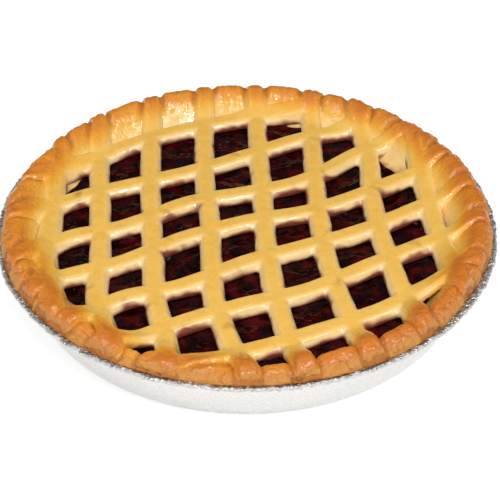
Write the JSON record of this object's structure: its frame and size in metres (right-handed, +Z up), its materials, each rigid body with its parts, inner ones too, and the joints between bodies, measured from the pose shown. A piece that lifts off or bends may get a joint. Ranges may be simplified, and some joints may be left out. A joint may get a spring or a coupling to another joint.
{
  "type": "boysenberry tart",
  "caption": "Round baked fruit tart with a dark berry filling, a lattice pastry top and a raised crust, in its own shallow foil tin.",
  "frame": {"origin": "centre of the tin's underside, on the surface that the tart stands on", "axes": "+Z up, -Y towards the side that faces the viewer, +X to the viewer's right"},
  "size_m": [0.23, 0.23, 0.0369],
  "materials": {
    "foil": "thin bright foil with fine wrinkles, rolled crinkled rim",
    "crust_pastry": "baked golden brown, glazed on top, dry and flaky at the outer edge",
    "lattice_pastry": "pale golden pastry with an egg glaze, browner at the rim",
    "berry_jelly": "wet glossy dark berry filling"
  },
  "bodies": {
    "root": {"foil_tin": "foil", "pastry_crust": "crust_pastry", "berry_filling": "berry_jelly", "lattice_top": "lattice_pastry"}
  },
  "joints": []
}
